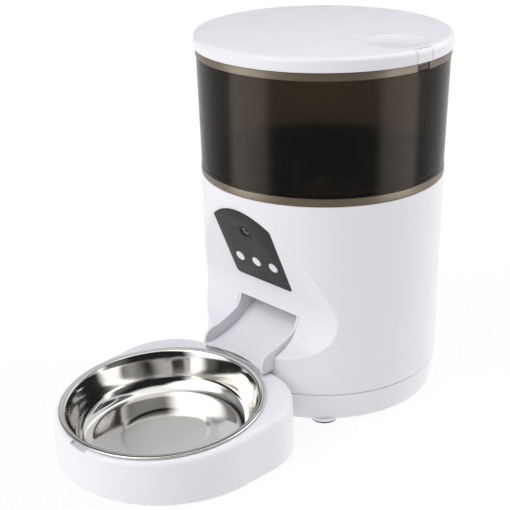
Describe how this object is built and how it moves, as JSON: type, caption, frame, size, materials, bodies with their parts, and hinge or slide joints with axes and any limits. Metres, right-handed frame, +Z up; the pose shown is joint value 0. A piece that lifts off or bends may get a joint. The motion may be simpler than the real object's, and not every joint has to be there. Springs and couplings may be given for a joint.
{
  "type": "automatic pet feeder",
  "caption": "Round upright dry-food feeder: smoky hopper with lift-off lid, sloping control panel with camera, rotor, chute, and a pull-out tray with a steel bowl.",
  "frame": {"origin": "centre of the footprint's box on the surface the feeder stands on", "axes": "+Z up, -Y towards the pet (the bowl side), +X towards the lid latch"},
  "size_m": [0.197, 0.3498, 0.2885],
  "materials": {
    "white_gloss": "glossy moulded white plastic",
    "white_satin": "satin white plastic",
    "smoke": "smoky brown translucent plastic",
    "black_gloss": "dark charcoal fascia",
    "black_plastic": "plain black plastic",
    "lens_glass": "dark lens glass",
    "led_blue": "small clear indicator",
    "rubber_black": "matt black rubber",
    "silicone": "soft translucent silicone",
    "steel_polished": "mirror-polished stainless steel",
    "steel_shaft": "turned steel",
    "zinc": "bright zinc plating",
    "board_green": "green solder mask"
  },
  "bodies": {
    "body": {"base_cover": "white_gloss", "contact_plate_front": "zinc", "contact_plate_back": "zinc", "contact_spring_left": "zinc", "contact_spring_centre": "zinc", "contact_spring_right": "zinc", "foot_pad_1": "rubber_black", "foot_pad_2": "rubber_black", "foot_pad_3": "rubber_black", "foot_pad_4": "rubber_black", "speaker": "black_plastic", "base_screw_1": "zinc", "base_screw_2": "zinc", "base_screw_3": "zinc", "base_screw_4": "zinc", "body_shell": "white_gloss", "control_panel": "black_gloss", "camera_ring": "black_gloss", "camera_lens": "lens_glass", "camera_module": "black_plastic", "switch_left": "black_plastic", "switch_centre": "black_plastic", "switch_right": "black_plastic", "status_led": "led_blue", "microphone": "zinc", "control_board": "board_green", "dc_jack": "black_plastic", "chute": "white_gloss", "rotor_housing": "white_satin", "housing_screw_1": "zinc", "housing_screw_2": "zinc", "housing_screw_3": "zinc", "gearbox": "black_plastic", "motor": "steel_shaft"},
    "hopper_body": {"hopper": "smoke"},
    "lid_body": {"lid": "white_gloss", "lid_seal": "silicone"},
    "latch": {"lid_latch": "white_gloss"},
    "desiccant": {"desiccant_cup": "white_satin"},
    "rotor": {"rotor_blades": "silicone", "rotor_hub": "white_satin", "rotor_shaft": "steel_shaft", "agitator": "white_satin"},
    "button_left_body": {"button_left": "white_gloss"},
    "button_centre_body": {"button_centre": "white_gloss"},
    "button_right_body": {"button_right": "white_gloss"},
    "battery_door": {"battery_cover": "white_satin"},
    "tray_body": {"tray": "white_gloss", "tray_pad_1": "rubber_black", "tray_pad_2": "rubber_black", "tray_pad_3": "rubber_black", "tray_pad_4": "rubber_black"},
    "bowl_body": {"bowl": "steel_polished"}
  },
  "joints": [
    {"name": "hopper_lift", "type": "slide", "parent": "body", "child": "hopper_body", "axis": [0, 0, 1], "range_m": [0, 0.1]},
    {"name": "lid_lift", "type": "slide", "parent": "hopper_body", "child": "lid_body", "axis": [0, 0, 1], "range_m": [0, 0.06]},
    {"name": "latch_press", "type": "slide", "parent": "lid_body", "child": "latch", "axis": [-1, 0, 0], "range_m": [0, 0.0006], "stiffness_N_per_m": 800},
    {"name": "desiccant_cup_off", "type": "slide", "parent": "lid_body", "child": "desiccant", "axis": [0, 0, -1], "range_m": [0, 0.025]},
    {"name": "rotor_spin", "type": "hinge", "parent": "body", "child": "rotor", "pos_m": [0, 0.07635, 0.13], "axis": [0, 0, 1], "continuous": true},
    {"name": "button_left_press", "type": "slide", "parent": "body", "child": "button_left_body", "axis": [0, 0.9171, 0.3987], "range_m": [0, 0.0006], "stiffness_N_per_m": 400},
    {"name": "button_centre_press", "type": "slide", "parent": "body", "child": "button_centre_body", "axis": [0, 0.9171, 0.3987], "range_m": [0, 0.0006], "stiffness_N_per_m": 400},
    {"name": "button_right_press", "type": "slide", "parent": "body", "child": "button_right_body", "axis": [0, 0.9171, 0.3987], "range_m": [0, 0.0006], "stiffness_N_per_m": 400},
    {"name": "battery_cover_off", "type": "slide", "parent": "body", "child": "battery_door", "axis": [0, 0, -1], "range_m": [0, 0.02]},
    {"name": "tray_pull", "type": "slide", "parent": "body", "child": "tray_body", "axis": [0, -1, 0], "range_m": [0, 0.05]},
    {"name": "bowl_lift", "type": "slide", "parent": "tray_body", "child": "bowl_body", "axis": [0, -0.0583, 0.9983], "range_m": [0, 0.06]}
  ]
}
